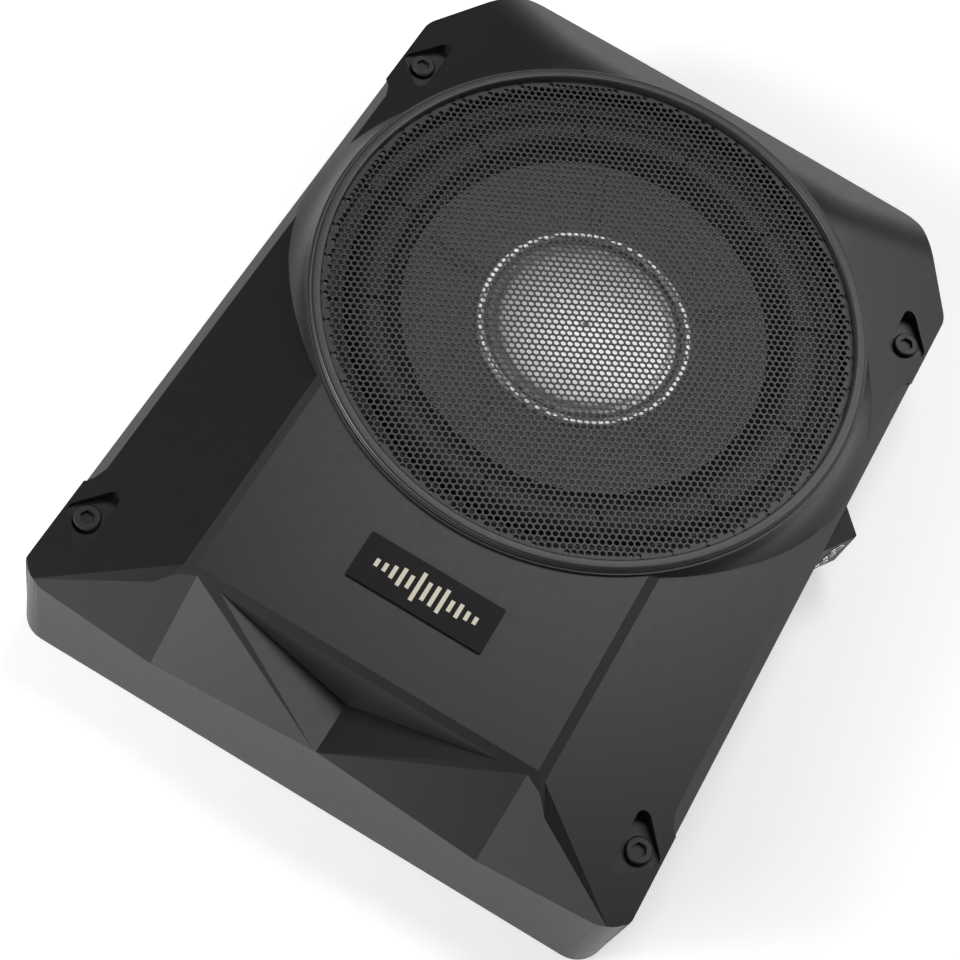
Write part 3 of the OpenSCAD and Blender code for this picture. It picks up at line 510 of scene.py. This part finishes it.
def build_bezel():
    profile = [(103.2, 61.5), (110.4, 61.5), (110.4, 66.6), (110.1, 66.9), (110.1, 67.6), (109.95, 68.0),
               (109.5, 68.3), (108.9, 68.4), (106.9, 68.4), (106.4, 68.3), (106.1, 68.0), (106.0, 67.6),
               (106.0, 64.5), (103.2, 64.4)]
    return soften(lathe("bezel", profile, 256), 0.12, 2, 40)


def build_surround():
    """The half roll between the frame and the cone, made in sectors."""
    inner, outer, top, thick = 78.0, 96.5, 61.4, 1.1
    mid, half = (inner + outer) / 2, (outer - inner) / 2
    base = 56.6
    upper, lower = [], []
    steps = 20
    for k in range(steps + 1):
        a = math.pi * (1 - k / steps)
        upper.append((mid + half * math.cos(a), base + (top - base) * math.sin(a)))
        lower.append((mid + (half - thick) * math.cos(a), base - 0.6 + (top - base - thick) * math.sin(a)))
    profile = [(74.0, 55.2), (76.6, 55.25)] + upper
    profile += [(98.5, 57.0), (99.0, 57.9), (103.6, 57.9), (104.4, 57.5), (104.4, 57.05)]
    profile += [(97.5, 57.02)] + list(reversed(lower)) + [(76.6, 54.45), (74.0, 54.42)]
    return bending_sectors("surround", profile, 12, 24)


def bending_sectors(name, profile, count, segments):
    """A ring cut into sectors, each a separate object turned from the profile."""
    sectors = []
    for i in range(count):
        start = i * 360 / count
        sector = lathe("%s_%02d" % (name, i), profile, segments, start, 360 / count)
        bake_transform(sector)
        sectors.append(sector)
    return sectors


def build_spider():
    """The corrugated cloth disc that centres the coil."""
    inner, outer, waves, steps, height, cloth, mid = 26.2, 59.0, 6, 72, 0.8, 0.35, 37.0
    line = [(inner + (outer - inner) * i / steps, height * math.sin(2 * math.pi * waves * i / steps))
            for i in range(steps + 1)]
    profile = [(r, mid - cloth + w) for r, w in line] + [(r, mid + cloth + w) for r, w in reversed(line)]
    return bending_sectors("spider", profile, 12, 12)


def cone_top(r):
    return 45.9 + (r - 25.8) * 8.5 / 48.0


def build_cone():
    """Pressed cone with five pairs of thin ribs and a few shallow rings."""
    segments, rings = 720, 44
    first, last = 25.8, 78.0
    verts, faces = [], []
    radii = [first + (last - first) * k / rings for k in range(rings + 1)]
    for i in range(segments):
        a = 2 * math.pi * i / segments
        rib = min(abs((math.degrees(a) - 40 - 72 * k + 180) % 360 - 180) for k in range(5))
        for r in radii:
            z = min(cone_top(r), 54.4)
            offset = math.sin(math.radians(min(rib, 60))) * r
            if 46 < r < 72:
                z += 0.55 * math.exp(-((offset - 2.0) / 0.55) ** 2)
            z += 0.10 * math.cos((r - 46) * 2 * math.pi / 5.2) if 46 < r < 73 else 0
            verts.append((r * math.cos(a), r * math.sin(a) + DRIVER_Y, z))
    under = len(verts)
    for i in range(segments):
        a = 2 * math.pi * i / segments
        for r, z in ((first, 44.6), (last, 53.2)):
            verts.append((r * math.cos(a), r * math.sin(a) + DRIVER_Y, z))
    n = rings + 1
    for i in range(segments):
        j = (i + 1) % segments
        for k in range(rings):
            faces.append((i * n + k, i * n + k + 1, j * n + k + 1, j * n + k))
        faces.append((under + 2 * i, under + 2 * j, under + 2 * j + 1, under + 2 * i + 1))
        faces.append((i * n, j * n, under + 2 * j, under + 2 * i))
        faces.append((i * n + rings, under + 2 * i + 1, under + 2 * j + 1, j * n + rings))
    return piece("pressed_cone", verts, faces)


def build_dust_cap():
    sphere, cap_r, edge_z = 210.0, 34.0, 50.2
    rings = 16
    sunk = math.sqrt(sphere ** 2 - cap_r ** 2)
    radii = [cap_r * k / rings for k in range(rings, 0, -1)]
    dome = [(r, edge_z + math.sqrt(sphere ** 2 - r ** 2) - sunk) for r in radii]
    dome.append((0.03, edge_z + sphere - sunk))
    profile = [(0.03, 49.0), (30.0, 49.0), (36.6, 47.95), (38.4, 48.25), (38.2, 48.7), (37.4, 48.9),
               (36.2, 49.2), (35.2, 49.75), (34.6, 50.05)] + dome
    return lathe("dust_cap_spun", profile, 192)


def build_cap_ring():
    profile = [(40.3, 48.52), (44.0, 49.16), (44.0, 49.7), (43.8, 50.25), (43.3, 50.62), (42.6, 50.8),
               (41.8, 50.76), (41.1, 50.5), (40.55, 50.1), (40.3, 49.6)]
    return lathe("trim_ring", profile, 192)


# ---------------------------------------------------------------- materials
def node(tree, kind, **values):
    made = tree.nodes.new(kind)
    for key, value in values.items():
        if key in made.inputs:
            made.inputs[key].default_value = value
        else:
            setattr(made, key, value)
    return made


def material(name, color, rough, metal=0.0, grain=0.35, bump=0.05, mottle=0.12, rough_swing=0.06,
             specular=0.5, coat=0.0, stretch=(1, 1, 1), sheen=0.0):
    """One finish: a slowly mottled colour, a roughness that varies, and a grain of the given size in mm."""
    mat = bpy.data.materials.new(name)
    mat.use_nodes = True
    tree = mat.node_tree
    shader = tree.nodes["Principled BSDF"]
    shader.inputs["Metallic"].default_value = metal
    shader.inputs["Specular IOR Level"].default_value = specular
    shader.inputs["Coat Weight"].default_value = coat
    shader.inputs["Coat Roughness"].default_value = 0.12
    shader.inputs["Sheen Weight"].default_value = sheen
    link = tree.links.new
    coords = node(tree, "ShaderNodeTexCoord")
    place = node(tree, "ShaderNodeMapping", Scale=stretch)
    link(coords.outputs["Object"], place.inputs["Vector"])
    slow = node(tree, "ShaderNodeTexNoise", Scale=22.0, Detail=4.0, Roughness=0.6)
    link(coords.outputs["Object"], slow.inputs["Vector"])
    shade = node(tree, "ShaderNodeMapRange")
    shade.inputs["To Min"].default_value = 1 - mottle
    shade.inputs["To Max"].default_value = 1 + mottle
    link(slow.outputs["Fac"], shade.inputs["Value"])
    tint = node(tree, "ShaderNodeMix", data_type="RGBA", blend_type="MULTIPLY")
    tint.inputs[0].default_value = 1.0
    tint.inputs[6].default_value = (*color, 1)
    link(shade.outputs["Result"], tint.inputs[7])
    link(tint.outputs[2], shader.inputs["Base Color"])
    wear = node(tree, "ShaderNodeTexNoise", Scale=260.0, Detail=5.0, Roughness=0.65)
    link(place.outputs["Vector"], wear.inputs["Vector"])
    rough_range = node(tree, "ShaderNodeMapRange")
    rough_range.inputs["To Min"].default_value = max(0.02, rough - rough_swing)
    rough_range.inputs["To Max"].default_value = min(1.0, rough + rough_swing)
    link(wear.outputs["Fac"], rough_range.inputs["Value"])
    link(rough_range.outputs["Result"], shader.inputs["Roughness"])
    fine = node(tree, "ShaderNodeTexNoise", Scale=1.0 / (grain * MM), Detail=3.0, Roughness=0.55)
    link(place.outputs["Vector"], fine.inputs["Vector"])
    relief = node(tree, "ShaderNodeBump", Strength=1.0, Distance=bump * MM)
    link(fine.outputs["Fac"], relief.inputs["Height"])
    link(relief.outputs["Normal"], shader.inputs["Normal"])
    return mat


FINISHES = {
    "cover_plastic": dict(color=(0.007, 0.007, 0.0074), rough=0.42, grain=0.45, bump=0.006, mottle=0.08),
    "base_metal": dict(color=(0.03, 0.03, 0.032), rough=0.5, grain=0.6, bump=0.012),
    "black_plastic": dict(color=(0.022, 0.022, 0.023), rough=0.38, grain=0.4, bump=0.005),
    "gloss_black": dict(color=(0.003, 0.003, 0.0032), rough=0.5, grain=2.0, bump=0.002, specular=0.2),
    "rubber": dict(color=(0.022, 0.022, 0.022), rough=0.40, grain=0.5, bump=0.004),
    "foam": dict(color=(0.015, 0.015, 0.016), rough=0.9, grain=0.5, bump=0.08),
    "grille_steel": dict(color=(0.016, 0.016, 0.0165), rough=0.42, grain=0.3, bump=0.003, specular=0.5),
    "black_screw": dict(color=(0.022, 0.022, 0.023), rough=0.42, metal=0.3, grain=0.3, bump=0.006),
    "zinc_screw": dict(color=(0.6, 0.6, 0.58), rough=0.32, metal=1.0, grain=0.3, bump=0.004),
    "cone_paper": dict(color=(0.15, 0.15, 0.155), rough=0.45, grain=0.5, bump=0.03),
    "cap_metal": dict(color=(0.95, 0.95, 0.96), rough=0.42, metal=1.0, grain=0.4, bump=0.003),
    "spider_cloth": dict(color=(0.5, 0.3, 0.1), rough=0.85, grain=0.4, bump=0.06, sheen=0.3),
    "former_paper": dict(color=(0.45, 0.26, 0.1), rough=0.6, grain=0.6, bump=0.02),
    "copper": dict(color=(0.75, 0.33, 0.14), rough=0.35, metal=0.7, grain=0.3, bump=0.05, stretch=(1, 1, 8)),
    "steel": dict(color=(0.5, 0.51, 0.52), rough=0.36, metal=1.0, grain=0.5, bump=0.006),
    "ferrite": dict(color=(0.05, 0.05, 0.055), rough=0.55, metal=0.3, grain=0.8, bump=0.03),
    "board": dict(color=(0.02, 0.13, 0.06), rough=0.3, grain=1.5, bump=0.01, coat=0.3),
    "brass_post": dict(color=(0.72, 0.52, 0.22), rough=0.3, metal=1.0, grain=0.4, bump=0.004),
    "heat_alu": dict(color=(0.62, 0.63, 0.64), rough=0.4, metal=1.0, grain=0.4, bump=0.008,
                     stretch=(0.1, 1, 1)),
    "component_black": dict(color=(0.02, 0.02, 0.021), rough=0.5, grain=0.4, bump=0.012),
    "cap_sleeve": dict(color=(0.02, 0.04, 0.12), rough=0.25, grain=2.0, bump=0.01, coat=0.3),
    "wire_red": dict(color=(0.45, 0.02, 0.02), rough=0.35, grain=1.0, bump=0.01),
    "terminal_board": dict(color=(0.3, 0.17, 0.08), rough=0.5, grain=0.6, bump=0.02),
    "panel_black": dict(color=(0.018, 0.018, 0.019), rough=0.42, grain=0.35, bump=0.01),
    "pot_steel": dict(color=(0.5, 0.51, 0.52), rough=0.33, metal=1.0, grain=0.4, bump=0.004),
    "lever_white": dict(color=(0.7, 0.7, 0.69), rough=0.35, grain=0.8, bump=0.004),
    "port_ivory": dict(color=(0.58, 0.55, 0.47), rough=0.4, grain=0.6, bump=0.006),
    "rca_shell_white": dict(color=(0.75, 0.75, 0.74), rough=0.3, grain=0.8, bump=0.004),
    "rca_shell_red": dict(color=(0.55, 0.02, 0.02), rough=0.3, grain=0.8, bump=0.004),
    "gold_pin": dict(color=(0.85, 0.62, 0.26), rough=0.22, metal=1.0, grain=0.4, bump=0.002),
    "led_lens": dict(color=(0.05, 0.2, 0.6), rough=0.1, grain=2.0, bump=0.002, coat=0.5),
    "block_black": dict(color=(0.010, 0.010, 0.0105), rough=0.5, grain=0.5, bump=0.006, specular=0.25),
    "nickel": dict(color=(0.72, 0.71, 0.68), rough=0.2, metal=1.0, grain=0.4, bump=0.004),
    "fuse_body": dict(color=(0.7, 0.42, 0.03), rough=0.2, grain=2.0, bump=0.003, coat=0.3),
    "emblem_ink": dict(color=(0.62, 0.58, 0.46), rough=0.5, grain=0.4, bump=0.006),
}
finishes = {name: material(name, **values) for name, values in FINISHES.items()}


def finish(obj, slot):
    obj.data.materials.clear()
    obj.data.materials.append(finishes[slot])
    return obj


SLOT_OF = {s["node"]: s["material_slot"] for s in frame["record"]["subparts"]}


def stand_for(obj, *nodes, body=ROOT):
    """obj is the finished form of these CAD nodes and moves with their body."""
    if body:
        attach(obj, body)
    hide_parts(*nodes)
    return finish(obj, SLOT_OF[nodes[0]])


# ---------------------------------------------------------------- the object
stand_for(build_cover(), "top_cover")
for half in build_grille():
    stand_for(half, "grille")
stand_for(build_bezel(), "grille_bezel")
for sector in build_surround():
    stand_for(sector, "surround", body=None)
for sector in build_spider():
    stand_for(sector, "spider", body=None)
stand_for(build_cone(), "cone", body=CONE_BODY)
stand_for(build_dust_cap(), "dust_cap", body=CONE_BODY)
stand_for(build_cap_ring(), "cap_ring", body=CONE_BODY)

# CAD nodes that keep their shape get a finish, and those listed in EDGE_WIDTH also get softened edges
EDGE_WIDTH = {"cover_screws": 0.25, "badge_plate": 0.15, "badge_emblem": 0.06, "base_plate": 0.3,
              "rubber_feet": 0.4, "terminal_block": 0.35, "terminal_inserts": 0.12,
              "terminal_screws": 0.15, "control_panel": 0.2, "gain_knob": 0.18, "lowpass_knob": 0.18,
              "bass_knob": 0.18, "panel_screws": 0.12, "remote_port": 0.25, "high_level_socket": 0.25,
              "line_in_left": 0.25, "line_in_right": 0.25, "fuse_holder": 0.25, "fuse": 0.25,
              "phase_switch_lever": 0.2, "basket": 0.3, "yoke": 0.3, "magnet": 0.6, "top_plate": 0.3,
              "heat_bar": 0.15, "base_screws": 0.1}
for name, obj in frame["nodes"].items():
    if obj.hide_render:
        continue
    for slot_index in range(max(1, len(obj.material_slots))):
        if not obj.material_slots:
            obj.data.materials.append(finishes[SLOT_OF[name]])
        obj.material_slots[slot_index].material = finishes[SLOT_OF[name]]
    if name in EDGE_WIDTH:
        soften(obj, EDGE_WIDTH[name], 2, 28)

# ---------------------------------------------------------------- floor, light and camera
STUDIO_R, STUDIO_H, COVE_R = 8000.0, 2400.0, 600.0
FLOOR_Z = -0.2
sweep_line = [(20.0, FLOOR_Z), (STUDIO_R - COVE_R, FLOOR_Z)]
sweep_line += [(STUDIO_R - COVE_R + COVE_R * math.sin(a), COVE_R - COVE_R * math.cos(a) + FLOOR_Z)
               for a in (math.radians(15 * k) for k in range(1, 7))]
sweep_line += [(STUDIO_R, STUDIO_H), (STUDIO_R + 20, STUDIO_H), (STUDIO_R + 20, -20.0), (20.0, -20.0)]
floor = lathe("floor", sweep_line, 96, centre=(0.0, 0.0))
floor.data.polygons.foreach_set("use_smooth", [False] * len(floor.data.polygons))
floor_finish = bpy.data.materials.new("floor")
floor_finish.use_nodes = True
floor_inputs = floor_finish.node_tree.nodes["Principled BSDF"].inputs
floor_inputs["Base Color"].default_value = (0.9, 0.9, 0.9, 1)
floor_inputs["Roughness"].default_value = 0.9
floor_inputs["Emission Color"].default_value = (1, 1, 1, 1)
floor_inputs["Emission Strength"].default_value = 0.36
floor.data.materials.append(floor_finish)


def softbox(name, place, target, size, watts):
    data = bpy.data.lights.new(name, "AREA")
    data.shape = "RECTANGLE"
    data.size, data.size_y = size
    data.energy = watts
    light = new_object(name, data)
    light.location = place
    light.rotation_euler = (Vector(target) - Vector(place)).to_track_quat("-Z", "Y").to_euler()
    return light


AIM = (0.0, 0.0, 0.05)
DISTANCE = 1.5
# Name, direction from AIM, width in metres and watts; the watts are a rounded least-squares fit to tones
SOFTBOXES = [("overhead_rear", (-0.06, 0.44, 0.9), 0.5, 4.7),
             ("overhead_right_rear", (0.25, 0.62, 0.74), 0.5, 1.7),
             ("right_rear", (0.47, 0.44, 0.77), 0.5, 5.6),
             ("front_left", (-0.45, -0.75, 0.47), 0.6, 4.8),
             ("front", (0.0, -0.88, 0.47), 0.6, 2.4),
             ("low_left", (-0.75, -0.55, 0.36), 0.6, 17.4),
             ("right", (0.8, 0.44, 0.42), 0.6, 0.5)]
for name, direction, size, watts in SOFTBOXES:
    softbox(name, Vector(direction).normalized() * DISTANCE, AIM, (size, size), watts)

world = bpy.data.worlds.new("studio")
world.use_nodes = True
world.node_tree.nodes["Background"].inputs["Color"].default_value = (0.9, 0.92, 0.95, 1)
world.node_tree.nodes["Background"].inputs["Strength"].default_value = 0.03
bpy.context.scene.world = world
bpy.context.scene.view_settings.view_transform = "Standard"

# The lens, axes and place of the camera are a fit to the object's ring and edges, in metres
SENSOR_MM, LENS_MM = 36.0, 71.66
camera_data = bpy.data.cameras.new("camera")
camera_data.sensor_width = SENSOR_MM
camera_data.lens = LENS_MM
camera = new_object("camera", camera_data)
right = Vector((0.85885, 0.48207, 0.17314))
down = Vector((0.50834, -0.76064, -0.40376))
ahead = Vector((-0.06294, 0.43479, -0.89833))
turn = Matrix((right, -down, -ahead)).transposed().to_4x4()
camera.matrix_world = Matrix.Translation((0.04307, -0.35656, 0.69797)) @ turn
bpy.context.scene.camera = camera
